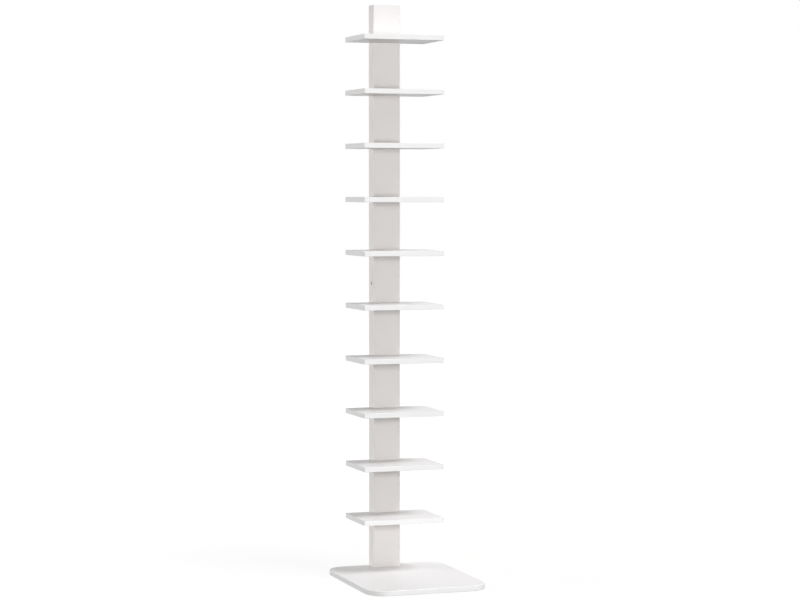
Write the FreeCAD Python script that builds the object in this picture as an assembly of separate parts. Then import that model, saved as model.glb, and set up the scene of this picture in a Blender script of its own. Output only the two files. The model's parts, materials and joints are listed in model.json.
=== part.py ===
"""Spine bookshelf: a slim column on a round-cornered base plate, with ten shelves let in round its front.

Millimetres. +Z is up, -Y is the front, and the origin is on the floor at the centre of the base plate.
The column is a hollow box in two lengths. Each shelf is notched round the column's front and drawn against it
by two bolts that come in from the back and end in barrel nuts in the shelf's underside. The base and the
shelves are faced boards with banded edges: one band bent round the base, straight strips on the shelves.
"""
import FreeCAD, Part
import math
import os

# ---- Driving dimensions: base plate ----
base_width = 368.0
base_depth = 452.0
base_thickness = 15.0
base_corner_radius = 60.0
base_edge_radius = 1.5

# ---- Driving dimensions: column ----
column_width = 84.0
column_depth = 47.0
column_wall = 12.0
column_corner_radius = 1.2
column_rim_radius = 0.8         # round the outer edge of the column's top
seam_edge_radius = 0.4          # round the outer edges where the two lengths meet
column_setback = 1.0            # from the back edge of the base to the back of the column
column_rise = 99.0              # from the top shelf's upper face to the column's top

# ---- Driving dimensions: shelves ----
shelf_count = 10
shelf_width = 250.0
shelf_reach = 164.0             # in front of the column
shelf_lap = 22.0                # back along the column's sides
shelf_thickness = 15.0
shelf_corner_radius = 1.2
shelf_edge_radius = 0.8
shelf_pitch = 160.0
first_shelf_height = 168.0      # from the base's upper face to the lowest shelf's upper face
notch_clearance = 0.25

# ---- Driving dimensions: edge bands of the base and the shelves ----
edge_band_thickness = 2.0
strip_end_gap = 0.1             # hairline where the side strips butt against the front and back strips

# ---- Driving dimensions: blocks inside the column ----
core_height = 60.0
core_gap = 20.0                 # hollow left between the splice block and the core blocks beside it
foot_block_height = 80.0
plug_thickness = 15.0
splice_shelf = 5                # the two lengths meet level with this shelf's upper face
splice_clearance = 0.25         # round the splice block, so that the upper length slides over it

# ---- Driving dimensions: fasteners ----
bolt_diameter = 6.0
bolt_hole_clearance = 0.3       # radial, where a bolt passes through
thread_clearance = 0.05         # radial, where a bolt is screwed in
socket_width = 4.0              # across the flats of the hexagon socket
socket_depth = 2.5
hole_runout = 2.0               # hole left beyond the end of a bolt

shelf_bolt_inset = 7.5          # from the side of the column's hollow to the bolt's axis
shelf_bolt_tail = 10.0          # past the barrel nut's axis
shelf_head_diameter = 10.0
shelf_head_height = 4.0
shelf_head_sink = 7.0           # from the column's back to the seat under the head
head_clearance = 0.3            # radial, round a sunk head

nut_diameter = 10.0
nut_length = 11.0
nut_setback = 30.0              # from the column's front face to the barrel nut's axis
nut_clearance = 0.1             # radial
nut_slot_width = 1.2
nut_slot_depth = 1.0

dowel_diameter = 8.0
dowel_in_column = 10.0
dowel_in_shelf = 20.0
dowel_clearance = 0.05          # radial
dowel_end_space = 0.5
dowel_chamfer = 0.8

cap_diameter = 13.0
cap_height = 1.0
cap_chamfer = 0.5
cap_plug_length = 2.5
cap_plug_clearance = 0.1        # radial

base_bolt_inset = 9.5           # from the side of the column's hollow to the bolt's axis
base_bolt_length = 45.0
base_head_diameter = 17.0
base_head_height = 2.5
base_head_sink = 3.5            # from the underside to the seat above the head
insert_diameter = 10.0
insert_length = 15.0

splice_bolt_height = 57.0       # above the splice shelf's upper face
splice_head_diameter = 11.0
splice_head_height = 6.0
splice_head_sink = 8.0
sleeve_diameter = 8.0
sleeve_length = 16.0
sleeve_head_diameter = 10.0
sleeve_head_height = 2.0
sleeve_head_sink = 4.0
sleeve_bore_depth = 13.0
splice_bolt_engagement = 9.0

# ---- Levels and planes worked out from the driving dimensions ----
X_AXIS = FreeCAD.Vector(1, 0, 0)
Y_AXIS = FreeCAD.Vector(0, 1, 0)
Z_AXIS = FreeCAD.Vector(0, 0, 1)

column_back = base_depth / 2 - column_setback
column_front = column_back - column_depth
column_middle = (column_back + column_front) / 2
shelf_front = column_front - shelf_reach
shelf_back = column_front + shelf_lap
board_width = shelf_width - 2 * edge_band_thickness
board_front = shelf_front + edge_band_thickness
board_back = shelf_back - edge_band_thickness
cavity_width = column_width - 2 * column_wall
cavity_front = column_front + column_wall
cavity_back = column_back - column_wall

first_shelf_top = base_thickness + first_shelf_height
last_shelf_top = first_shelf_top + (shelf_count - 1) * shelf_pitch
column_top = last_shelf_top + column_rise
seam_level = first_shelf_top + (splice_shelf - 1) * shelf_pitch

bolt_radius = bolt_diameter / 2
bolt_hole_radius = bolt_radius + bolt_hole_clearance
thread_radius = bolt_radius + thread_clearance
shelf_bolt_x = cavity_width / 2 - shelf_bolt_inset
bolt_sides = (-shelf_bolt_x, shelf_bolt_x)
base_bolt_x = cavity_width / 2 - base_bolt_inset
base_bolt_sides = (-base_bolt_x, base_bolt_x)
shelf_bolt_seat = column_back - shelf_head_sink
shelf_seat_radius = shelf_head_diameter / 2 + head_clearance
nut_axis = column_front - nut_setback
shelf_bolt_end = nut_axis - shelf_bolt_tail
dowel_hole_radius = dowel_diameter / 2 + dowel_clearance
sleeve_hole_radius = sleeve_diameter / 2 + bolt_hole_clearance
splice_bolt_level = seam_level + splice_bolt_height
splice_bolt_seat = splice_head_sink - column_width / 2
sleeve_seat = column_width / 2 - sleeve_head_sink
sleeve_end = sleeve_seat - sleeve_length
splice_bolt_end = sleeve_end + splice_bolt_engagement


def shelf_top(number):
    """Upper face of a shelf, counted from 1 at the floor."""
    return first_shelf_top + (number - 1) * shelf_pitch


def shelf_middle(number):
    """Level of the bolts and the dowel, half way through a shelf's thickness."""
    return shelf_top(number) - shelf_thickness / 2


# ---- Shapes that several pieces share ----
def cylinder(radius, length, x, y, z, direction=Z_AXIS):
    """A cylinder that starts at the given point and runs along the direction."""
    return Part.makeCylinder(radius, length, FreeCAD.Vector(x, y, z), direction)


def block(width, y_low, y_high, z_low, z_high):
    """A plain block centred on X = 0."""
    corner = FreeCAD.Vector(-width / 2, y_low, z_low)
    return Part.makeBox(width, y_high - y_low, z_high - z_low, corner)


def cavity_filler(z_low, z_high, clearance=0.0):
    """A block that fills the column's hollow between two levels, less a clearance on each side."""
    width = cavity_width - 2 * clearance
    return block(width, cavity_front + clearance, cavity_back - clearance, z_low, z_high)


def round_cornered_board(width, y_low, y_high, z_low, z_high, radius):
    """A board centred on X = 0 whose upright edges are rounded."""
    board = block(width, y_low, y_high, z_low, z_high)
    return board.makeFillet(radius, [edge for edge in board.Edges if is_upright(edge)])


def is_upright(edge):
    start, end = edge.Vertexes[0].Point, edge.Vertexes[-1].Point
    return abs(start.z - end.z) > abs(start.x - end.x) + abs(start.y - end.y)


def lies_at(edge, level):
    box = edge.BoundBox
    return abs(box.ZMin - level) < 1e-6 and abs(box.ZMax - level) < 1e-6


def soften(board, levels, radius):
    """Round every edge of a board that lies in one of the given level planes."""
    edges = [edge for edge in board.Edges if any(lies_at(edge, level) for level in levels)]
    return board.makeFillet(radius, edges)


def banded_outline(width, y_low, y_high, z_low, z_high, corner_radius, edge_radius):
    """The form of a board with its edge band on, whose outer edges are all rounded."""
    whole = round_cornered_board(width, y_low, y_high, z_low, z_high, corner_radius)
    return soften(whole, (z_low, z_high), edge_radius)


def socket(mouth):
    """The hexagon recess of a head whose end face lies at the level of the mouth."""
    corner_radius = socket_width / math.sqrt(3)
    corners = [FreeCAD.Vector(corner_radius * math.cos(math.radians(60 * step)),
                              corner_radius * math.sin(math.radians(60 * step)), mouth) for step in range(7)]
    return Part.Face(Part.makePolygon(corners)).extrude(-socket_depth * Z_AXIS)


def socket_bolt(length, head_diameter, head_height):
    """A bolt along Z: the seat under its head is at Z = 0, the head above and the shank below."""
    head = Part.makeCylinder(head_diameter / 2, head_height)
    shank = cylinder(bolt_radius, length, 0, 0, 0, -Z_AXIS)
    return head.fuse(shank).cut(socket(head_height)).removeSplitter()


def point_along(shape, direction, x, y, z):
    """Turn a piece made along +Z so that +Z becomes the direction, and move its origin to the point."""
    turned = shape.copy()
    rotation = FreeCAD.Rotation(Z_AXIS, direction)
    turned.Placement = FreeCAD.Placement(FreeCAD.Vector(x, y, z), rotation)
    return turned


# ---- Base plate and what fastens the column to it ----
def make_base():
    """The base board, with its bolt holes and the sunk seats in its underside, and the band bent round it."""
    half_depth = base_depth / 2
    inner_half_depth = half_depth - edge_band_thickness
    whole = banded_outline(base_width, -half_depth, half_depth, 0, base_thickness,
                           base_corner_radius, base_edge_radius)
    board = round_cornered_board(base_width - 2 * edge_band_thickness, -inner_half_depth, inner_half_depth,
                                 0, base_thickness, base_corner_radius - edge_band_thickness)
    band = whole.cut(board)
    seat_radius = base_head_diameter / 2 + head_clearance
    for x in base_bolt_sides:
        board = board.cut(cylinder(bolt_hole_radius, base_thickness, x, column_middle, 0))
        board = board.cut(cylinder(seat_radius, base_head_sink, x, column_middle, 0))
    return board, band


def make_base_bolts():
    bolt = socket_bolt(base_bolt_length, base_head_diameter, base_head_height)
    return [point_along(bolt, -Z_AXIS, x, column_middle, base_head_sink) for x in base_bolt_sides]


def make_base_inserts():
    inserts = []
    for x in base_bolt_sides:
        body = cylinder(insert_diameter / 2, insert_length, x, column_middle, base_thickness)
        inserts.append(body.cut(cylinder(thread_radius, insert_length, x, column_middle, base_thickness)))
    return inserts


def make_foot_block():
    top = base_thickness + foot_block_height
    foot = cavity_filler(base_thickness, top)
    bolt_reach = base_head_sink + base_bolt_length + hole_runout - base_thickness
    for x in base_bolt_sides:
        foot = foot.cut(cylinder(insert_diameter / 2, insert_length, x, column_middle, base_thickness))
        foot = foot.cut(cylinder(bolt_hole_radius, bolt_reach, x, column_middle, base_thickness))
    return foot


# ---- Column: two folded box lengths ----
def cut_shelf_fixings(column, numbers):
    """Bolt holes through both walls, the sunk seats in the back wall and the dowel hole in the front wall."""
    for number in numbers:
        z = shelf_middle(number)
        for x in bolt_sides:
            column = column.cut(cylinder(bolt_hole_radius, column_depth, x, column_front, z, Y_AXIS))
            column = column.cut(cylinder(shelf_seat_radius, shelf_head_sink, x, shelf_bolt_seat, z, Y_AXIS))
        dowel_hole = dowel_in_column + dowel_end_space
        column = column.cut(cylinder(dowel_hole_radius, dowel_hole, 0, column_front, z, Y_AXIS))
    return column


def column_post(z_low, z_high):
    return round_cornered_board(column_width, column_front, column_back, z_low, z_high, column_corner_radius)


def make_column_lower():
    box = soften(column_post(base_thickness, seam_level), (seam_level,), seam_edge_radius)
    box = box.cut(cavity_filler(base_thickness, seam_level))
    return cut_shelf_fixings(box, range(1, splice_shelf + 1))


def make_column_upper():
    box = soften(column_post(seam_level, column_top), (seam_level,), seam_edge_radius)
    box = soften(box, (column_top,), column_rim_radius)
    box = box.cut(cavity_filler(seam_level, column_top))
    box = cut_shelf_fixings(box, range(splice_shelf + 1, shelf_count + 1))
    return cut_splice_fixing(box)


def cut_splice_fixing(box):
    """Crossways hole of the splice bolt with the sunk seats of its head, on the left, and its sleeve nut."""
    left = -column_width / 2
    y, z = column_middle, splice_bolt_level
    head_radius = splice_head_diameter / 2 + head_clearance
    sleeve_head_radius = sleeve_head_diameter / 2 + head_clearance
    box = box.cut(cylinder(bolt_hole_radius, column_width / 2, left, y, z, X_AXIS))
    box = box.cut(cylinder(head_radius, splice_head_sink, left, y, z, X_AXIS))
    box = box.cut(cylinder(sleeve_hole_radius, column_width / 2, 0, y, z, X_AXIS))
    return box.cut(cylinder(sleeve_head_radius, sleeve_head_sink, sleeve_seat, y, z, X_AXIS))


# ---- Blocks inside the column ----
def cut_bolt_passages(core, number):
    z = shelf_middle(number)
    for x in bolt_sides:
        core = core.cut(cylinder(bolt_hole_radius, column_depth, x, column_front, z, Y_AXIS))
    return core


def make_core_block(number):
    middle = shelf_middle(number)
    core = cavity_filler(middle - core_height / 2, middle + core_height / 2)
    return cut_bolt_passages(core, number)


def make_splice_block():
    low = shelf_middle(splice_shelf - 1) + core_height / 2 + core_gap
    high = shelf_middle(splice_shelf + 1) - core_height / 2 - core_gap
    core = cut_bolt_passages(cavity_filler(low, high, splice_clearance), splice_shelf)
    y, z = column_middle, splice_bolt_level
    half = column_width / 2
    core = core.cut(cylinder(bolt_hole_radius, half, -half, y, z, X_AXIS))
    core = core.cut(cylinder(bolt_hole_radius, sleeve_end, 0, y, z, X_AXIS))
    return core.cut(cylinder(sleeve_hole_radius, sleeve_length, sleeve_end, y, z, X_AXIS))


def make_top_plug():
    return cavity_filler(column_top - plug_thickness, column_top)


# ---- Splice bolt and its nut ----
def make_splice_bolt():
    bolt = socket_bolt(splice_bolt_end - splice_bolt_seat, splice_head_diameter, splice_head_height)
    return point_along(bolt, -X_AXIS, splice_bolt_seat, column_middle, splice_bolt_level)


def make_splice_nut():
    head = Part.makeCylinder(sleeve_head_diameter / 2, sleeve_head_height)
    sleeve = cylinder(sleeve_diameter / 2, sleeve_length, 0, 0, 0, -Z_AXIS)
    nut = head.fuse(sleeve).removeSplitter()
    nut = nut.cut(cylinder(thread_radius, sleeve_bore_depth, 0, 0, -sleeve_length))
    nut = nut.cut(socket(sleeve_head_height))
    return point_along(nut, X_AXIS, sleeve_seat, column_middle, splice_bolt_level)


# ---- Shelves ----
def make_shelf(number):
    """A board notched round the column's front, with its bolt, nut and dowel holes, and its edge strips."""
    top = shelf_top(number)
    bottom = top - shelf_thickness
    middle = shelf_middle(number)
    notch = column_notch(bottom, top)
    whole = banded_outline(shelf_width, shelf_front, shelf_back, bottom, top,
                           shelf_corner_radius, shelf_edge_radius)
    board = block(board_width, board_front, board_back, bottom, top).cut(notch)
    for x in bolt_sides:
        hole_end = shelf_bolt_end - hole_runout
        board = board.cut(cylinder(bolt_hole_radius, column_front - hole_end, x, hole_end, middle, Y_AXIS))
        pocket_depth = shelf_thickness / 2 + nut_length / 2
        board = board.cut(cylinder(nut_diameter / 2 + nut_clearance, pocket_depth, x, nut_axis, bottom))
    dowel_hole = dowel_in_shelf + dowel_end_space
    dowel_start = column_front - dowel_hole
    board = board.cut(cylinder(dowel_hole_radius, dowel_hole, 0, dowel_start, middle, Y_AXIS))
    return board, edge_strips(whole.cut(notch), bottom, top)


def edge_strips(whole, bottom, top):
    """A long strip on the front, one on each side between it and the two short strips on the back."""
    front = whole.common(block(shelf_width, shelf_front, board_front, bottom, top))
    back = whole.common(block(shelf_width, board_back, shelf_back, bottom, top))
    side_front = board_front + strip_end_gap
    side_back = board_back - strip_end_gap
    between = whole.common(block(shelf_width, side_front, side_back, bottom, top))
    sides = between.cut(block(board_width, board_front, board_back, bottom, top))
    return front.Solids + sides.Solids + back.Solids


def column_notch(bottom, top):
    """The notch's own round inner corners match the column's, and it runs out past the shelf's back edge."""
    width = column_width + 2 * notch_clearance
    back = shelf_back + 2 * column_corner_radius
    return round_cornered_board(width, column_front, back, bottom, top, column_corner_radius)


# ---- Shelf fasteners: groups of equal pieces ----
def make_shelf_bolts():
    bolt = socket_bolt(shelf_bolt_seat - shelf_bolt_end, shelf_head_diameter, shelf_head_height)
    return [point_along(bolt, Y_AXIS, x, shelf_bolt_seat, shelf_middle(number)) for number, x in fixings()]


def make_barrel_nuts():
    nut = cylinder(nut_diameter / 2, nut_length, 0, 0, -nut_length / 2)
    nut = nut.cut(cylinder(thread_radius, nut_diameter, 0, -nut_diameter / 2, 0, Y_AXIS))
    slot_floor = nut_slot_depth - nut_length / 2
    nut = nut.cut(block(nut_slot_width, -nut_diameter, nut_diameter, -nut_length, slot_floor))
    return [point_along(nut, Z_AXIS, x, nut_axis, shelf_middle(number)) for number, x in fixings()]


def make_dowels():
    dowel = cylinder(dowel_diameter / 2, dowel_in_column + dowel_in_shelf, 0, 0, 0)
    dowel = dowel.makeChamfer(dowel_chamfer, [edge for edge in dowel.Edges if not is_upright(edge)])
    start = column_front - dowel_in_shelf
    return [point_along(dowel, Y_AXIS, 0, start, shelf_middle(number)) for number in shelf_numbers]


def make_bolt_caps():
    """Push-in covers: a thin chamfered disc on the column's back, with a plug in the bolt's sunk seat."""
    disc = cylinder(cap_diameter / 2, cap_height, 0, 0, 0)
    disc = disc.makeChamfer(cap_chamfer, [edge for edge in disc.Edges if lies_at(edge, cap_height)])
    plug_radius = shelf_seat_radius - cap_plug_clearance
    cap = disc.fuse(cylinder(plug_radius, cap_plug_length, 0, 0, 0, -Z_AXIS))
    return [point_along(cap, Y_AXIS, x, column_back, shelf_middle(number)) for number, x in fixings()]


def fixings():
    """Each shelf bolt's shelf number and side."""
    return [(number, x) for number in shelf_numbers for x in bolt_sides]


# ---- The assembly: one STEP file for each node ----
shelf_numbers = range(1, shelf_count + 1)
base_board, base_edge_band = make_base()

nodes = {
    "base_board": base_board,
    "base_edge_band": base_edge_band,
    "base_bolts": make_base_bolts(),
    "base_inserts": make_base_inserts(),
    "foot_block": make_foot_block(),
    "column_lower": make_column_lower(),
    "column_upper": make_column_upper(),
    "splice_block": make_splice_block(),
    "splice_bolt": make_splice_bolt(),
    "splice_nut": make_splice_nut(),
    "top_plug": make_top_plug(),
    "shelf_bolts": make_shelf_bolts(),
    "barrel_nuts": make_barrel_nuts(),
    "dowels": make_dowels(),
    "bolt_caps": make_bolt_caps(),
}
for number in shelf_numbers:
    shelf, strips = make_shelf(number)
    nodes[f"shelf_{number:02d}"] = shelf
    nodes[f"shelf_edge_band_{number:02d}"] = strips
    if number != splice_shelf:
        nodes[f"core_block_{number:02d}"] = make_core_block(number)

os.makedirs("parts", exist_ok=True)
for name, pieces in nodes.items():
    shape = Part.makeCompound(pieces) if isinstance(pieces, list) else pieces
    if not shape.isValid():
        raise ValueError(f"{name} is not a valid shape")
    shape.exportStep(f"parts/{name}.step")
    print(f"{name}: {len(shape.Solids)} solid(s), {shape.Volume / 1000:.1f} cm3")
print(f"{len(nodes)} nodes, {column_top:.0f} mm high")
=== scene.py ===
# %% [markdown]
# # A spine bookshelf, dressed for its portrait
#
# This bookshelf is a slim white column on a round-cornered base plate. Ten equal shelves are let in round
# the front of the column, one over the other, and bolted on from behind. Every board is white: the base and
# the shelves are chipboard faced with melamine, with a plastic band glued round the edge, and the column is a
# box folded from board and wrapped in white foil.
#
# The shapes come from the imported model, one object for each piece, already in place and in metres. What is
# left for Blender is the hard part of a white object: finishes that stay white and still show what each piece
# is made of, and a light soft enough to tell one white face from the next.

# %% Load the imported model
import json
from math import cos, radians, sin

import bmesh
import bpy
from mathutils import Matrix, Vector


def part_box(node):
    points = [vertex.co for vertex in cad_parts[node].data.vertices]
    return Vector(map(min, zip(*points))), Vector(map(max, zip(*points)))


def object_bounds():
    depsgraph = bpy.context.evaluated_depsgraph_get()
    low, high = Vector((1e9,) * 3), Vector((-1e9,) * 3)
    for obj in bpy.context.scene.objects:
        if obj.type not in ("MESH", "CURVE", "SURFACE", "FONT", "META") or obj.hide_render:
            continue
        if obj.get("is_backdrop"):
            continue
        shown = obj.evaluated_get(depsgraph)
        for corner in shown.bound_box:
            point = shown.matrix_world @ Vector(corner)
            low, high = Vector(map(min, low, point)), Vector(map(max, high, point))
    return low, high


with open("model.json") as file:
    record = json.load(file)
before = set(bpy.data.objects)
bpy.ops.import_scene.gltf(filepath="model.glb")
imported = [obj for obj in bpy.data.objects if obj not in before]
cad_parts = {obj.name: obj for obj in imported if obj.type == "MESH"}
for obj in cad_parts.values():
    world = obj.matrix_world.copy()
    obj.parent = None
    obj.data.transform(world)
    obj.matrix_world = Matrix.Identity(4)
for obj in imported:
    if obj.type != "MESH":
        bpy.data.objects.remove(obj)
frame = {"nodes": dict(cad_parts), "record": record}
nodes = frame["nodes"]
model_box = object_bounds()
print(f"{len(nodes)} pieces, {model_box[1][2]:.3f} m high")

# %% [markdown]
# ## Measures
#
# A finish that knows where the edge of a board is needs the board's size. The sizes are read from the pieces,
# so that the finishes follow the model if it changes. Only what a piece's box can't tell, such as the radius
# of a corner, is typed in beside the finish that needs it.

# %% Read the sizes of the boards and the column
MM = 0.001
MOST_SHELVES = 60


def shelf_name(number):
    return f"shelf_{number:02d}"


def band_name(number):
    return f"shelf_edge_band_{number:02d}"


shelf_numbers = [number for number in range(1, MOST_SHELVES + 1) if shelf_name(number) in nodes]
shelf_low, shelf_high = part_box(band_name(1))
next_shelf_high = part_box(band_name(2))[1]
base_low, base_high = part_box("base_edge_band")
column_low, column_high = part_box("column_upper")
shelf_pitch = next_shelf_high[2] - shelf_high[2]
print(f"{len(shelf_numbers)} shelves, one every {shelf_pitch / MM:.0f} mm")

# %% [markdown]
# ## The camera
#
# A tall thin object looks best through a long lens from some way off, because a short one makes the top and
# the bottom lean. The camera stands to the left of the front, two thirds of the way up the column, and looks
# slightly down, so that the undersides of the upper shelves and the tops of the lower ones both show.

# %% Set up the camera
CAMERA_PLACE = (-2.2019, -6.3494, 1.1662)
CAMERA_DOWN = 2.791
CAMERA_TURN = -18.973
CAMERA_LENS = 102.183
SENSOR_WIDTH = 36.0
VIEW_END = 60.0


def set_camera():
    data = bpy.data.cameras.new("portrait_camera")
    data.sensor_fit = "HORIZONTAL"
    data.sensor_width = SENSOR_WIDTH
    data.lens = CAMERA_LENS
    data.clip_end = VIEW_END
    camera = bpy.data.objects.new("portrait_camera", data)
    camera.location = CAMERA_PLACE
    camera.rotation_euler = (radians(90.0 - CAMERA_DOWN), 0.0, radians(CAMERA_TURN))
    bpy.context.scene.collection.objects.link(camera)
    bpy.context.scene.camera = camera
    return camera


camera = set_camera()
bpy.context.scene.view_settings.view_transform = "Standard"
print(f"camera with a {camera.data.lens:.0f} mm lens")

# %% [markdown]
# ## Small tools for node materials
#
# A procedural material is a chain of nodes. Building one in code gets long unless adding a node and joining
# two sockets are each a single call. `add` does the first: `settings` holds the choices that aren't sockets,
# and any other keyword names an input. `fill` does the second: a value that is itself a socket is linked, and
# any other is copied into the input.


# %% Add nodes and fill their inputs
def fill(tree, socket, value):
    """Link an input to another node's output, or set it to a plain number or colour."""
    if isinstance(value, bpy.types.NodeSocket):
        tree.links.new(value, socket)
    else:
        socket.default_value = value


def fill_named(tree, node, inputs):
    """Fill the inputs of a node by name. Spaces in a socket's name are written as underscores."""
    for name, value in inputs.items():
        fill(tree, node.inputs[name.replace("_", " ")], value)


def add(tree, kind, settings=None, **inputs):
    """Add a node; each keyword fills the input of that name."""
    node = tree.nodes.new(kind)
    for name, value in (settings or {}).items():
        setattr(node, name, value)
    fill_named(tree, node, inputs)
    return node


# %% [markdown]
# Most of a material is arithmetic on masks, which are numbers from 0 to 1 that say how much of something is
# at a point. Three kinds of step are enough: one sum, one smooth edge, and a number that follows a mask.


# %% Do arithmetic with nodes
def maths(tree, operation, first, second=0.0, third=None):
    """One arithmetic step. Its inputs have no names of their own, so they are filled by place."""
    node = tree.nodes.new("ShaderNodeMath")
    node.operation = operation
    for place, value in enumerate((first, second, third)):
        if value is not None:
            fill(tree, node.inputs[place], value)
    return node.outputs[0]


def smooth_step(tree, value, start, end):
    """0 below start, 1 above end, and a smooth rise between. With start above end it falls instead."""
    node = add(tree, "ShaderNodeMapRange", {"interpolation_type": "SMOOTHSTEP"}, Value=value)
    node.inputs["From Min"].default_value = min(start, end)
    node.inputs["From Max"].default_value = max(start, end)
    node.inputs["To Min"].default_value = 0.0 if start < end else 1.0
    node.inputs["To Max"].default_value = 1.0 if start < end else 0.0
    return node.outputs["Result"]


def varied(tree, mask, base, change):
    """A number that is base where the mask is 0, and base plus change where it is 1."""
    return maths(tree, "MULTIPLY_ADD", mask, change, base)


# %% [markdown]
# The last tools mix colours and give places. The Mix node has inputs of the same name for each kind of data,
# so they are picked by their identifiers. Every pattern is laid on Object coordinates, which are the piece's
# own metres: it then has its real size, and stays on the piece wherever that goes.


# %% Mix colours and find places
def blend_colours(tree, amount, first, second):
    """Mix two colours by an amount from 0 to 1."""
    node = add(tree, "ShaderNodeMix", {"data_type": "RGBA"})
    socket_of = {socket.identifier: socket for socket in node.inputs}
    fill(tree, socket_of["Factor_Float"], amount)
    fill(tree, socket_of["A_Color"], first)
    fill(tree, socket_of["B_Color"], second)
    return next(socket for socket in node.outputs if socket.identifier == "Result_Color")


def object_position(tree):
    """The point being shaded, in the piece's own metres."""
    return tree.nodes.new("ShaderNodeTexCoord").outputs["Object"]


def coordinates(tree):
    """The same point as three numbers, X, Y and Z."""
    return add(tree, "ShaderNodeSeparateXYZ", Vector=object_position(tree)).outputs


def stretched_noise(tree, stretch):
    """A noise with its own scale for each axis. It is drawn out where the scale is low."""
    position = add(tree, "ShaderNodeMapping", Vector=object_position(tree), Scale=stretch).outputs["Vector"]
    return add(tree, "ShaderNodeTexNoise", Vector=position, Scale=1.0, Detail=2.0).outputs["Fac"]


print("node tools ready")

# %% [markdown]
# ## Shared effects
#
# Several of the finishes need the same thing: how far a point is from the edge of its board, how deep it is
# under the board's face, the faint pebble of a satin surface. Each of these is built once as a node group
# with named inputs and outputs, like a tool on the bench, and every material that needs it sets its own
# values. The groups only put out numbers and colours. The shader itself stays in each material.

# %% Start a node group and place it
NUMBER = "NodeSocketFloat"
COLOUR = "NodeSocketColor"


def new_group(name, inputs, outputs):
    """An empty shader group. Inputs map a name to its default, a number or a colour."""
    tree = bpy.data.node_groups.new(name, "ShaderNodeTree")
    for label, default in inputs.items():
        kind = NUMBER if isinstance(default, float) else COLOUR
        socket = tree.interface.new_socket(name=label, in_out="INPUT", socket_type=kind)
        socket.default_value = default
    for label, kind in outputs.items():
        tree.interface.new_socket(name=label, in_out="OUTPUT", socket_type=kind)
    entry = tree.nodes.new("NodeGroupInput")
    leave = tree.nodes.new("NodeGroupOutput")
    return tree, entry.outputs, leave.inputs


def use_group(tree, group, **inputs):
    """Place a group in a material, set its inputs and give back its outputs."""
    node = tree.nodes.new("ShaderNodeGroup")
    node.node_tree = group
    fill_named(tree, node, inputs)
    return node.outputs


# %% [markdown]
# ### How far in from the edge
#
# Seen from above, each board and the column is a rectangle with round corners. The distance from a point to
# that outline is a short formula: fold the plan into one quarter, step back by the corner's radius, and
# measure to what is left. It tells a material where the edge band is glued on, and where a hole has gone
# through the column's foil into the board.


# %% Build the outline group
def make_outline_group():
    """Distance in metres from the outline of a rounded rectangle, counted inwards."""
    tree, entry, leave = new_group(
        "distance_from_outline",
        {"Half width": 0.1, "Centre Y": 0.0, "Half depth": 0.1, "Corner radius": 0.01},
        {"Inside": NUMBER})
    place = coordinates(tree)
    across = maths(tree, "ABSOLUTE", place["X"])
    along = maths(tree, "ABSOLUTE", maths(tree, "SUBTRACT", place["Y"], entry["Centre Y"]))
    straight_x = maths(tree, "SUBTRACT", entry["Half width"], entry["Corner radius"])
    straight_y = maths(tree, "SUBTRACT", entry["Half depth"], entry["Corner radius"])
    past_x = maths(tree, "SUBTRACT", across, straight_x)
    past_y = maths(tree, "SUBTRACT", along, straight_y)
    corner_x = maths(tree, "MAXIMUM", past_x, 0.0)
    corner_y = maths(tree, "MAXIMUM", past_y, 0.0)
    squares = maths(tree, "ADD", maths(tree, "MULTIPLY", corner_x, corner_x),
                    maths(tree, "MULTIPLY", corner_y, corner_y))
    beyond = maths(tree, "ADD", maths(tree, "SQRT", squares),
                   maths(tree, "MINIMUM", maths(tree, "MAXIMUM", past_x, past_y), 0.0))
    tree.links.new(maths(tree, "SUBTRACT", entry["Corner radius"], beyond), leave["Inside"])
    return tree


outline_group = make_outline_group()
print("made", outline_group.name)

# %% [markdown]
# ### How deep under the face
#
# A faced board is only white on the outside. Under 0.3 mm of melamine it is chips and glue, and that shows in
# the pockets of the barrel nuts. The ten shelves are equal and evenly spaced, so their height can be folded
# into one board with a modulo, and one material then serves them all.

# %% Build the depth group
FOLD_MARGIN = 0.01


def make_depth_group():
    """Depth in metres below the nearer face of a board that repeats up the column."""
    tree, entry, leave = new_group(
        "depth_under_face",
        {"Lower face": 0.0, "Pitch": 1.0, "Thickness": 0.015},
        {"Depth": NUMBER})
    height = maths(tree, "SUBTRACT", coordinates(tree)["Z"], entry["Lower face"])
    folded = maths(tree, "FLOORED_MODULO", maths(tree, "ADD", height, FOLD_MARGIN), entry["Pitch"])
    above_lower = maths(tree, "SUBTRACT", folded, FOLD_MARGIN)
    below_upper = maths(tree, "SUBTRACT", entry["Thickness"], above_lower)
    tree.links.new(maths(tree, "MINIMUM", above_lower, below_upper), leave["Depth"])
    return tree


depth_group = make_depth_group()
print("made", depth_group.name)

# %% [markdown]
# ### The skin of a satin finish
#
# Melamine, edge band, foil and moulded plastic are all white and satin, and all slightly uneven. Two sizes of
# unevenness matter. Clouds a hand wide change the colour and the gloss by a hair, which is what keeps a large
# white face from looking like paper. A pebble well under a millimetre breaks up the reflection. The group
# gives both, and a rare speck for the odd fibre in the sheet, and each finish sets its own sizes.

# %% Build the satin skin group
CLOUD_RANGE = (0.3, 0.7)
SPECK_CHANCE = (0.975, 0.99)
SPECK_EDGE = (0.28, 0.12)


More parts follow.
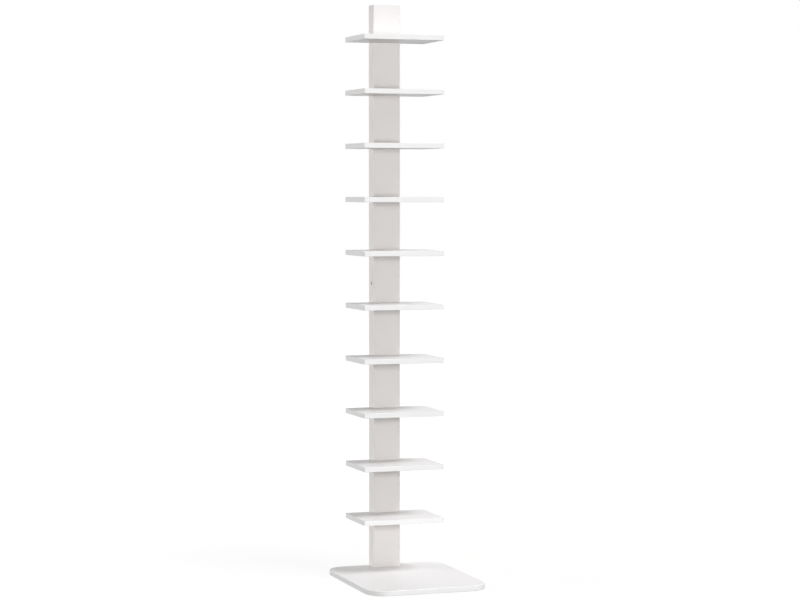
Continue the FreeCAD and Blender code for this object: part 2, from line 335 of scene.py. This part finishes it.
def make_satin_group():
    tree, entry, leave = new_group(
        "satin_skin",
        {"Cloud scale": 7.0, "Pebble scale": 1400.0, "Speck scale": 500.0},
        {"Cloud": NUMBER, "Pebble": NUMBER, "Speck": NUMBER})
    position = object_position(tree)
    cloud = add(tree, "ShaderNodeTexNoise", Vector=position, Scale=entry["Cloud scale"], Detail=3.0,
                Roughness=0.55)
    pebble = add(tree, "ShaderNodeTexNoise", Vector=position, Scale=entry["Pebble scale"], Detail=2.0,
                 Roughness=0.5)
    specks = add(tree, "ShaderNodeTexVoronoi", Vector=position, Scale=entry["Speck scale"])
    chance = add(tree, "ShaderNodeTexWhiteNoise", Vector=specks.outputs["Position"])
    rare = smooth_step(tree, chance.outputs["Value"], *SPECK_CHANCE)
    dot = smooth_step(tree, specks.outputs["Distance"], *SPECK_EDGE)
    tree.links.new(smooth_step(tree, cloud.outputs["Fac"], *CLOUD_RANGE), leave["Cloud"])
    tree.links.new(pebble.outputs["Fac"], leave["Pebble"])
    tree.links.new(maths(tree, "MULTIPLY", rare, dot), leave["Speck"])
    return tree


satin_group = make_satin_group()
print("made", satin_group.name)

# %% [markdown]
# ### Chips
#
# Under the white there is wood. Chipboard is flakes of every tone pressed with glue, and they show wherever a
# hole goes through the facing. A Voronoi texture splits the board into cells, and each cell takes one tone
# by chance, as each flake does. A noise would melt the flakes into each other. The gaps between them are
# darker and lie a little deeper.

# %% Build the group of chips
CHIP_EDGE = (0.35, 0.75)
GAP_SHOWS = 0.5


def make_chip_group():
    """Pressed flakes: a colour that changes from chip to chip, and a height that drops in the gaps."""
    tree, entry, leave = new_group(
        "pressed_chips",
        {"Chip scale": 900.0, "Light wood": (0.60, 0.44, 0.27, 1.0), "Dark wood": (0.33, 0.21, 0.11, 1.0),
         "Gap": (0.12, 0.08, 0.05, 1.0)},
        {"Colour": COLOUR, "Height": NUMBER})
    chips = add(tree, "ShaderNodeTexVoronoi", Vector=object_position(tree), Scale=entry["Chip scale"])
    tone = add(tree, "ShaderNodeTexWhiteNoise", Vector=chips.outputs["Position"]).outputs["Value"]
    colour = blend_colours(tree, tone, entry["Dark wood"], entry["Light wood"])
    gap = smooth_step(tree, chips.outputs["Distance"], *CHIP_EDGE)
    colour = blend_colours(tree, maths(tree, "MULTIPLY", gap, GAP_SHOWS), colour, entry["Gap"])
    tree.links.new(colour, leave["Colour"])
    tree.links.new(maths(tree, "SUBTRACT", 1.0, gap), leave["Height"])
    return tree


chip_group = make_chip_group()
print("made", chip_group.name)

# %% [markdown]
# ### Grain
#
# The blocks inside the column are plywood and the dowels are beech, both with a grain that runs one way. The
# fibres are a noise that is drawn out along the grain, so the group takes a scale for each axis, and the wood
# that uses it says which way its grain runs.

# %% Build the group of grain
STREAK_RANGE = (0.32, 0.68)


def make_grain_group():
    """Fibres drawn out along one axis. The stretch is lowest along the grain."""
    tree, entry, leave = new_group(
        "wood_grain",
        {"Across X": 300.0, "Across Y": 300.0, "Across Z": 12.0,
         "Light wood": (0.72, 0.55, 0.36, 1.0), "Dark wood": (0.52, 0.36, 0.21, 1.0)},
        {"Colour": COLOUR, "Height": NUMBER})
    scale = add(tree, "ShaderNodeCombineXYZ", X=entry["Across X"], Y=entry["Across Y"], Z=entry["Across Z"])
    drawn = add(tree, "ShaderNodeVectorMath", {"operation": "MULTIPLY"})
    fill(tree, drawn.inputs[0], object_position(tree))
    fill(tree, drawn.inputs[1], scale.outputs["Vector"])
    fibres = add(tree, "ShaderNodeTexNoise", Vector=drawn.outputs["Vector"], Scale=1.0, Detail=4.0,
                 Distortion=0.6)
    streak = smooth_step(tree, fibres.outputs["Fac"], *STREAK_RANGE)
    tree.links.new(blend_colours(tree, streak, entry["Dark wood"], entry["Light wood"]), leave["Colour"])
    tree.links.new(fibres.outputs["Fac"], leave["Height"])
    return tree


grain_group = make_grain_group()
print("made", grain_group.name)

# %% [markdown]
# ## The finishes
#
# Each material below ends in one Principled shader. `new_material` starts it with the numbers that are the
# same all over the surface, set straight on the shader, and gives back the tree, so that the rest of the
# function can say what varies.


# %% Start a material and put it on a piece
def new_material(name, **fixed):
    """A material with one Principled shader. Returns the material, its tree and the shader."""
    material = bpy.data.materials.new(name)
    material.use_nodes = True
    tree = material.node_tree
    tree.nodes.clear()
    shader = add(tree, "ShaderNodeBsdfPrincipled", **fixed)
    output = tree.nodes.new("ShaderNodeOutputMaterial")
    tree.links.new(shader.outputs["BSDF"], output.inputs["Surface"])
    return material, tree, shader


def raise_surface(tree, shader, height, depth):
    """Let a height from 0 to 1 bend the light as if it stood that many metres proud."""
    bump = add(tree, "ShaderNodeBump", Height=height, Distance=depth)
    tree.links.new(bump.outputs["Normal"], shader.inputs["Normal"])


def wear_finish(node, material):
    """Put a material on a piece of the model, in place of its plain one."""
    for slot in nodes[node].material_slots:
        slot.material = material
    print(f"{node}: {material.name}")


# %% [markdown]
# ### What the white pieces share
#
# Where the edge band starts there is a hairline of glue, two millimetres in from the edge of the board, and
# the plug in the top of the column sits in a joint of the same kind. The line is the outline's distance,
# folded round the joint. The dark fibres in the sheet show more or less from one finish to the next.

# %% Find a board's outline, depth and glue line
SATIN_IOR = 1.5
BAND = 2.0 * MM
GLUE_LINE = 0.12 * MM
GLUE_SHOWS = 0.6
GLUE = (0.66, 0.63, 0.58, 1.0)
FIBRE = (0.60, 0.57, 0.52, 1.0)


def outline_distance(tree, low, high, corner_radius):
    """How far in from its outline a point of a board lies, from the corners of the board's box."""
    return use_group(tree, outline_group, Half_width=(high[0] - low[0]) / 2, Centre_Y=(high[1] + low[1]) / 2,
                     Half_depth=(high[1] - low[1]) / 2, Corner_radius=corner_radius)["Inside"]


def face_depth(tree, low, high, pitch):
    """How deep under its nearer face a point of a board lies."""
    return use_group(tree, depth_group, Lower_face=low[2], Pitch=pitch, Thickness=high[2] - low[2])["Depth"]


def glue_line(tree, inside, joint):
    """A thin line where the band or the plug meets the board."""
    off = maths(tree, "ABSOLUTE", maths(tree, "SUBTRACT", inside, joint))
    return smooth_step(tree, off, start=GLUE_LINE, end=0.3 * GLUE_LINE)


def with_glue(tree, inside, colour):
    """A colour with the glue line of the edge band drawn on it."""
    shows = maths(tree, "MULTIPLY", glue_line(tree, inside, BAND), GLUE_SHOWS)
    return blend_colours(tree, shows, colour, GLUE)


def clouded(tree, satin, white, shade, fibre_shows):
    """The white of a sheet: two close tones in clouds, with a few fibres."""
    sheet = blend_colours(tree, satin["Cloud"], shade, white)
    return blend_colours(tree, maths(tree, "MULTIPLY", satin["Speck"], fibre_shows), sheet, FIBRE)


print(f"edge band {BAND / MM:.0f} mm thick, glue line {GLUE_LINE / MM:.2f} mm to each side of its joint")

# %% [markdown]
# ### Faced board
#
# The base and the shelves are chipboard faced with white melamine. Its press leaves a very fine pebble, and
# the sheet isn't quite one white: it clouds a little, and a few dark fibres show through. In the bolt pockets
# the facing ends and the chips begin, which the depth under the face tells. The base doesn't repeat, so its
# pitch is simply larger than its thickness.

# %% Make the faced board
FACING = 0.3 * MM
WHITE = (0.876, 0.859, 0.850, 1.0)
CLOUDED_WHITE = (0.861, 0.844, 0.834, 1.0)
BOARD_PEBBLE = 0.25
SHELF_CORNER = 1.2 * MM
BASE_CORNER = 60.0 * MM
NO_REPEAT = 1.0


def make_faced_board(name, low, high, corner_radius, pitch):
    material, tree, shader = new_material(name, IOR=SATIN_IOR)
    inside = outline_distance(tree, low, high, corner_radius)
    depth = face_depth(tree, low, high, pitch)
    satin = use_group(tree, satin_group, Cloud_scale=9.0, Pebble_scale=1500.0, Speck_scale=420.0)
    chips = use_group(tree, chip_group, Chip_scale=850.0)
    face = with_glue(tree, inside, clouded(tree, satin, WHITE, CLOUDED_WHITE, fibre_shows=0.5))
    raw = smooth_step(tree, depth, start=FACING, end=1.4 * FACING)
    fill(tree, shader.inputs["Base Color"], blend_colours(tree, raw, face, chips["Colour"]))
    smooth = varied(tree, satin["Cloud"], base=0.36, change=0.06)
    fill(tree, shader.inputs["Roughness"], varied(tree, raw, base=smooth, change=0.45))
    height = maths(tree, "ADD", maths(tree, "MULTIPLY", satin["Pebble"], BOARD_PEBBLE),
                   maths(tree, "MULTIPLY", raw, chips["Height"]))
    raise_surface(tree, shader, height, depth=0.08 * MM)
    return material


shelf_board = make_faced_board("shelf_faced_board", shelf_low, shelf_high, SHELF_CORNER, shelf_pitch)
base_board = make_faced_board("base_faced_board", base_low, base_high, BASE_CORNER, NO_REPEAT)
wear_finish("base_board", base_board)
for number in shelf_numbers:
    wear_finish(shelf_name(number), shelf_board)

# %% [markdown]
# ### Edge band
#
# The band is a strip of solid white plastic, glued on by a machine that then scrapes its corners round. One
# long strip bends round the base, and each shelf has straight strips that meet in a hairline near its
# corners. The band is a touch smoother than the facing, and the scraper leaves faint lines that run along the
# edge. They are made from a noise that is squeezed flat in height and drawn out in plan, and they fade where
# the band is flat.

# %% Make the edge bands
BAND_WHITE = (0.918, 0.920, 0.920, 1.0)
BAND_RUBBED = (0.902, 0.904, 0.904, 1.0)
BAND_PEBBLE = 0.15
SCRAPED = 1.2 * MM
SCRAPER_STRETCH = (18.0, 18.0, 5200.0)


def make_edge_band(name, low, high, corner_radius, pitch):
    material, tree, shader = new_material(name, IOR=SATIN_IOR)
    inside = outline_distance(tree, low, high, corner_radius)
    depth = face_depth(tree, low, high, pitch)
    satin = use_group(tree, satin_group, Cloud_scale=14.0, Pebble_scale=2200.0, Speck_scale=300.0)
    lines = stretched_noise(tree, SCRAPER_STRETCH)
    scraped = smooth_step(tree, depth, start=SCRAPED, end=0.4 * SCRAPED)
    tone = blend_colours(tree, satin["Cloud"], BAND_RUBBED, BAND_WHITE)
    fill(tree, shader.inputs["Base Color"], with_glue(tree, inside, tone))
    smooth = varied(tree, satin["Cloud"], base=0.31, change=0.05)
    fill(tree, shader.inputs["Roughness"], varied(tree, scraped, base=smooth, change=0.10))
    height = maths(tree, "ADD", maths(tree, "MULTIPLY", satin["Pebble"], BAND_PEBBLE),
                   maths(tree, "MULTIPLY", scraped, lines))
    raise_surface(tree, shader, height, depth=0.05 * MM)
    return material


shelf_band = make_edge_band("shelf_edge_band", shelf_low, shelf_high, SHELF_CORNER, shelf_pitch)
base_band = make_edge_band("base_edge_band", base_low, base_high, BASE_CORNER, NO_REPEAT)
wear_finish("base_edge_band", base_band)
for number in shelf_numbers:
    wear_finish(band_name(number), shelf_band)

# %% [markdown]
# ### The column's foil
#
# The column is wrapped: a sheet of thin white foil is rolled round the folded box, so the corners have no
# joint, and its two ends meet in one straight line down the back. Where bolts go in, the foil is drilled away
# and the board shows. The top of the column is closed by a plug, and a thin line shows where it meets the
# wall. Each of the three is a mask, worked out from the outline and from the place on the column.

# %% Find the foil's joints
COLUMN_CORNER = 1.2 * MM
FOIL = 0.45 * MM
PLUG_JOINT = 12.0 * MM
SEAM_X = 34.0 * MM


def raw_board(tree, inside, below_top):
    """1 where a hole has gone through the foil, 0 on the foil and on the top face."""
    through_foil = smooth_step(tree, inside, start=FOIL, end=1.3 * FOIL)
    under_top = smooth_step(tree, below_top, start=0.5 * MM, end=0.8 * MM)
    return maths(tree, "MULTIPLY", through_foil, under_top)


def back_seam(tree, place):
    """1 on the line down the back where the two ends of the foil meet."""
    on_back = smooth_step(tree, place["Y"], start=column_high[1] - MM, end=column_high[1] - 0.2 * MM)
    from_seam = maths(tree, "ABSOLUTE", maths(tree, "SUBTRACT", place["X"], SEAM_X))
    return maths(tree, "MULTIPLY", on_back, smooth_step(tree, from_seam, start=0.25 * MM, end=0.08 * MM))


def plug_line(tree, inside, below_top):
    """1 on the line in the top face where the plug meets the wall."""
    on_top = smooth_step(tree, below_top, start=0.5 * MM, end=0.2 * MM)
    return maths(tree, "MULTIPLY", glue_line(tree, inside, PLUG_JOINT), on_top)


print(f"plug {PLUG_JOINT / MM:.0f} mm in from the outline, seam {SEAM_X / MM:.0f} mm right of the middle")

# %% [markdown]
# Foil shows what is under it. The fibres of the board come through as a slow ripple a few millimetres wide,
# which only shows where light grazes it. The box itself is made from a pale, fine-chipped board, so its holes
# are much lighter than those of the shelves.

# %% Make the foil of the column
FOIL_WHITE = (0.868, 0.851, 0.844, 1.0)
FOIL_CLOUD = (0.852, 0.834, 0.826, 1.0)
FOIL_PEBBLE = 0.12
LINES_SHOW = 0.55
SEAM_DENT = 0.6
RIPPLE_STRETCH = (260.0, 260.0, 170.0)


def make_column_foil():
    material, tree, shader = new_material("column_foil", IOR=SATIN_IOR)
    inside = outline_distance(tree, column_low, column_high, COLUMN_CORNER)
    place = coordinates(tree)
    satin = use_group(tree, satin_group, Cloud_scale=6.0, Pebble_scale=1100.0, Speck_scale=420.0)
    chips = use_group(tree, chip_group, Chip_scale=1600.0, Light_wood=(0.84, 0.81, 0.77, 1.0),
                      Dark_wood=(0.74, 0.70, 0.65, 1.0), Gap=(0.56, 0.52, 0.46, 1.0))
    ripple = stretched_noise(tree, RIPPLE_STRETCH)
    below_top = maths(tree, "SUBTRACT", column_high[2], place["Z"])
    raw = raw_board(tree, inside, below_top)
    seam = back_seam(tree, place)
    joints = maths(tree, "MAXIMUM", seam, plug_line(tree, inside, below_top))

    white = clouded(tree, satin, FOIL_WHITE, FOIL_CLOUD, fibre_shows=0.35)
    white = blend_colours(tree, maths(tree, "MULTIPLY", joints, LINES_SHOW), white, GLUE)
    fill(tree, shader.inputs["Base Color"], blend_colours(tree, raw, white, chips["Colour"]))
    smooth = varied(tree, satin["Cloud"], base=0.33, change=0.06)
    fill(tree, shader.inputs["Roughness"], varied(tree, raw, base=smooth, change=0.5))
    height = maths(tree, "ADD", maths(tree, "MULTIPLY", satin["Pebble"], FOIL_PEBBLE),
                   maths(tree, "SUBTRACT", ripple, maths(tree, "MULTIPLY", seam, SEAM_DENT)))
    raise_surface(tree, shader, height, depth=0.06 * MM)
    return material


column_foil = make_column_foil()
for node in ("column_lower", "column_upper", "top_plug"):
    wear_finish(node, column_foil)

# %% [markdown]
# ### Covers and steel
#
# The caps at the back are moulded in white plastic, a little softer to the eye than the foil. The fasteners
# are zinc-plated steel: bright, with a patchy bloom where the plating is thicker. Metal shows mostly what it
# mirrors, so the bloom has to vary the roughness as well as the colour.

# %% Make the cap plastic and the zinc
CAP_SHADE = (0.845, 0.845, 0.840, 1.0)
CAP_WHITE = (0.872, 0.872, 0.868, 1.0)
ZINC = (0.66, 0.68, 0.70, 1.0)
ZINC_BLOOM = (0.76, 0.74, 0.70, 1.0)


def make_cap_plastic():
    material, tree, shader = new_material("cap_plastic", IOR=1.49)
    satin = use_group(tree, satin_group, Cloud_scale=40.0, Pebble_scale=2600.0, Speck_scale=300.0)
    fill(tree, shader.inputs["Base Color"], blend_colours(tree, satin["Cloud"], CAP_SHADE, CAP_WHITE))
    fill(tree, shader.inputs["Roughness"], varied(tree, satin["Pebble"], base=0.40, change=0.15))
    raise_surface(tree, shader, satin["Pebble"], depth=0.03 * MM)
    return material


def make_zinc_steel():
    material, tree, shader = new_material("zinc_steel", Metallic=1.0)
    satin = use_group(tree, satin_group, Cloud_scale=120.0, Pebble_scale=1800.0, Speck_scale=900.0)
    fill(tree, shader.inputs["Base Color"], blend_colours(tree, satin["Cloud"], ZINC, ZINC_BLOOM))
    rubbed = varied(tree, satin["Pebble"], base=0.22, change=0.18)
    fill(tree, shader.inputs["Roughness"], varied(tree, satin["Cloud"], base=rubbed, change=0.08))
    raise_surface(tree, shader, satin["Pebble"], depth=0.02 * MM)
    return material


finish_of_slot = {"cap_plastic": make_cap_plastic(), "zinc_steel": make_zinc_steel()}
print("made", ", ".join(finish_of_slot))

# %% [markdown]
# ### The wood inside
#
# The blocks inside the column are plywood, whose veneers lie one on another from front to back with their
# grain crossed. A modulo of the place from front to back picks the veneer, and the grain of every other one
# is turned. The dowels are beech, with fine flecks along their length.

# %% Make the plywood and the beech
VENEER = 1.5 * MM


def make_plywood():
    """Veneers stacked front to back: every other one shows its grain upright, the rest lying level."""
    material, tree, shader = new_material("core_plywood", IOR=SATIN_IOR)
    upright = use_group(tree, grain_group, Across_X=260.0, Across_Y=500.0, Across_Z=14.0)
    level = use_group(tree, grain_group, Across_X=16.0, Across_Y=500.0, Across_Z=280.0,
                      Light_wood=(0.62, 0.45, 0.28, 1.0), Dark_wood=(0.40, 0.27, 0.15, 1.0))
    pair = maths(tree, "FLOORED_MODULO", maths(tree, "DIVIDE", coordinates(tree)["Y"], VENEER), 2.0)
    second = maths(tree, "MULTIPLY", smooth_step(tree, pair, start=0.95, end=1.05),
                   smooth_step(tree, pair, start=1.99, end=1.9))
    fill(tree, shader.inputs["Base Color"], blend_colours(tree, second, upright["Colour"], level["Colour"]))
    fill(tree, shader.inputs["Roughness"], varied(tree, upright["Height"], base=0.62, change=0.15))
    raise_surface(tree, shader, upright["Height"], depth=0.1 * MM)
    return material


def make_beech():
    material, tree, shader = new_material("dowel_beech", IOR=SATIN_IOR)
    grain = use_group(tree, grain_group, Across_X=900.0, Across_Y=45.0, Across_Z=900.0,
                      Light_wood=(0.76, 0.58, 0.40, 1.0), Dark_wood=(0.60, 0.42, 0.27, 1.0))
    fill(tree, shader.inputs["Base Color"], grain["Colour"])
    fill(tree, shader.inputs["Roughness"], varied(tree, grain["Height"], base=0.5, change=0.2))
    raise_surface(tree, shader, grain["Height"], depth=0.05 * MM)
    return material


finish_of_slot["core_wood"] = make_plywood()
finish_of_slot["dowel_wood"] = make_beech()
for piece in frame["record"]["subparts"]:
    if piece["material_slot"] in finish_of_slot:
        wear_finish(piece["node"], finish_of_slot[piece["material_slot"]])

# %% [markdown]
# ## Light and floor
#
# White on white is drawn by light alone. The world gives a faint even light from all sides, a trace warm, and
# soft lamps do the rest. Camera rays see the world as plain white, and so do glossy and transmission rays,
# through the Light Path node. So the background is white however the object is lit.

# %% Set the world
WORLD_LEVEL = 0.10
WORLD_TINT = (1.0, 0.972, 0.966, 1.0)
PLAIN_WHITE = (1.0, 1.0, 1.0, 1.0)


def seen_directly(tree):
    """1 for camera, glossy and transmission rays, 0 for the rays that light the scene."""
    rays = tree.nodes.new("ShaderNodeLightPath").outputs
    mirrored = maths(tree, "MAXIMUM", rays["Is Glossy Ray"], rays["Is Transmission Ray"])
    return maths(tree, "MAXIMUM", rays["Is Camera Ray"], mirrored)


def set_world():
    world = bpy.data.worlds.new("even_light")
    world.use_nodes = True
    tree = world.node_tree
    tree.nodes.clear()
    seen = seen_directly(tree)
    level = varied(tree, seen, base=WORLD_LEVEL, change=1.0 - WORLD_LEVEL)
    colour = blend_colours(tree, seen, WORLD_TINT, PLAIN_WHITE)
    background = add(tree, "ShaderNodeBackground", Color=colour, Strength=level)
    output = tree.nodes.new("ShaderNodeOutputWorld")
    tree.links.new(background.outputs["Background"], output.inputs["Surface"])
    bpy.context.scene.world = world
    print(f"{world.name}: {WORLD_LEVEL:.0%} of white for the rays that light the scene")


set_world()

# %% [markdown]
# ### Lamps
#
# The key lamp stands high on the right and lights the tops of the boards. It is much farther off than the
# others, because a near lamp would light the highest shelf far more than the base. The front lamp stands
# level with the shelves, so that its light reaches right in under each one to the column, and it is narrow,
# because a wide one would leave a broad band of shade above and below each shelf. The side lamp, on the left
# and a little behind, keeps the left sides a step lighter than the undersides. The back lamp stands low
# behind on the right and fills the sides that the camera doesn't see.
#
# A satin board mirrors a low lamp as a streak of glare from end to end, for anyone who stands opposite it.
# So the three low lamps are hidden from glossy rays: they light the boards without showing in them.
#
# Each lamp is placed by its distance, its height angle and its turn from the front, as on a studio plan. The
# key is a trace cool and the front and side lamps a trace warm: edges stay neutral and the shade between the
# shelves turns warm, as it does in a room.

# %% Set the lamps
LAMP_AIM = Vector((0.0, 0.0, 0.85))


def set_lamp(name, distance, width, height_angle, turn, power, colour, mirrored):
    """A soft square lamp, aimed at the middle of the column. Its turn runs from the front to the right."""
    data = bpy.data.lights.new(name, "AREA")
    data.shape = "SQUARE"
    data.size = width
    data.energy = power
    data.color = colour
    height, side = radians(height_angle), radians(turn)
    outwards = Vector((cos(height) * sin(side), -cos(height) * cos(side), sin(height)))
    lamp = bpy.data.objects.new(name, data)
    lamp.location = LAMP_AIM + distance * outwards
    lamp.rotation_euler = outwards.to_track_quat("Z", "Y").to_euler()
    lamp.visible_camera = False
    lamp.visible_glossy = mirrored
    bpy.context.scene.collection.objects.link(lamp)
    print(f"{name}: {power:.0f} W from {distance:.0f} m, {height_angle:.0f} degrees up")


set_lamp("key_lamp", distance=30.0, width=12.0, height_angle=52.0, turn=34.0, power=6700.0,
         colour=(0.955, 0.972, 1.0), mirrored=True)
set_lamp("front_lamp", distance=6.0, width=1.2, height_angle=4.0, turn=-6.0, power=189.0,
         colour=(1.0, 0.981, 0.957), mirrored=False)
set_lamp("side_lamp", distance=6.0, width=2.4, height_angle=3.0, turn=-120.0, power=207.0,
         colour=(1.0, 0.985, 0.978), mirrored=False)
set_lamp("back_lamp", distance=6.0, width=2.4, height_angle=8.0, turn=132.0, power=125.0,
         colour=(1.0, 1.0, 1.0), mirrored=False)

# %% [markdown]
# ### Floor
#
# The floor is pale and plain. Its own shading is that of a grey floor, so that it doesn't throw too much
# light up under the shelves, and for the rays that see it directly a glow is added, which brings it to white.
# The glow is a little weaker round the object, where its shadow stays as a faint tone, and reaches full white
# farther off, where the lamps no longer do, so that no line shows between the floor and the background.
#
# From below the floor is see-through, by the Backfacing output of the Geometry node, so that the underside
# can be looked at too.

# %% Make the floor's finish
FLOOR_GREY = (0.08, 0.078, 0.076, 1.0)
GLOW_NEAR = 0.925
GLOW_FAR = 1.0
GLOW_EDGE = (0.5, 1.8)


def make_floor_finish():
    material = bpy.data.materials.new("pale_floor")
    material.use_nodes = True
    tree = material.node_tree
    tree.nodes.clear()
    matt = add(tree, "ShaderNodeBsdfDiffuse", Color=FLOOR_GREY)
    away = add(tree, "ShaderNodeVectorMath", {"operation": "LENGTH"})
    fill(tree, away.inputs[0], object_position(tree))
    far = smooth_step(tree, away.outputs["Value"], *GLOW_EDGE)
    level = varied(tree, far, base=GLOW_NEAR, change=GLOW_FAR - GLOW_NEAR)
    glow = add(tree, "ShaderNodeEmission", Color=PLAIN_WHITE,
               Strength=maths(tree, "MULTIPLY", seen_directly(tree), level))
    both = tree.nodes.new("ShaderNodeAddShader")
    tree.links.new(matt.outputs["BSDF"], both.inputs[0])
    tree.links.new(glow.outputs["Emission"], both.inputs[1])
    from_below = tree.nodes.new("ShaderNodeNewGeometry").outputs["Backfacing"]
    clear = tree.nodes.new("ShaderNodeBsdfTransparent")
    one_way = add(tree, "ShaderNodeMixShader", Fac=from_below)
    tree.links.new(both.outputs["Shader"], one_way.inputs[1])
    tree.links.new(clear.outputs["BSDF"], one_way.inputs[2])
    output = tree.nodes.new("ShaderNodeOutputMaterial")
    tree.links.new(one_way.outputs["Shader"], output.inputs["Surface"])
    return material


floor_finish = make_floor_finish()
print("made", floor_finish.name)

# %% [markdown]
# The sheet is so large that its edge lies far behind the object, where the floor and the background are the
# same white. It lies a hair above the underside of the base, because two faces in one plane would flicker. It
# isn't a piece of the object, so it is marked as part of the stage.

# %% Lay the floor
FLOOR_SIZE = 60.0
FLOOR_LIFT = 0.2 * MM


def make_floor():
    sheet = bmesh.new()
    lifted = Matrix.Translation((0.0, 0.0, FLOOR_LIFT))
    bmesh.ops.create_grid(sheet, x_segments=1, y_segments=1, size=FLOOR_SIZE / 2, matrix=lifted)
    mesh = bpy.data.meshes.new("floor")
    sheet.to_mesh(mesh)
    sheet.free()
    mesh.materials.append(floor_finish)
    floor = bpy.data.objects.new("floor", mesh)
    bpy.context.scene.collection.objects.link(floor)
    floor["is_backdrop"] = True


make_floor()
print(f"floor {FLOOR_SIZE:.0f} m square")

# %% [markdown]
# ## Finish
#
# The dressed model must be the size of the imported one. Both boxes are printed at the end.

# %% Write the sizes and finish
dressed_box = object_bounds()
for label, box in (("model", model_box), ("dressed", dressed_box)):
    print(label, [round(value, 4) for value in box[1]])
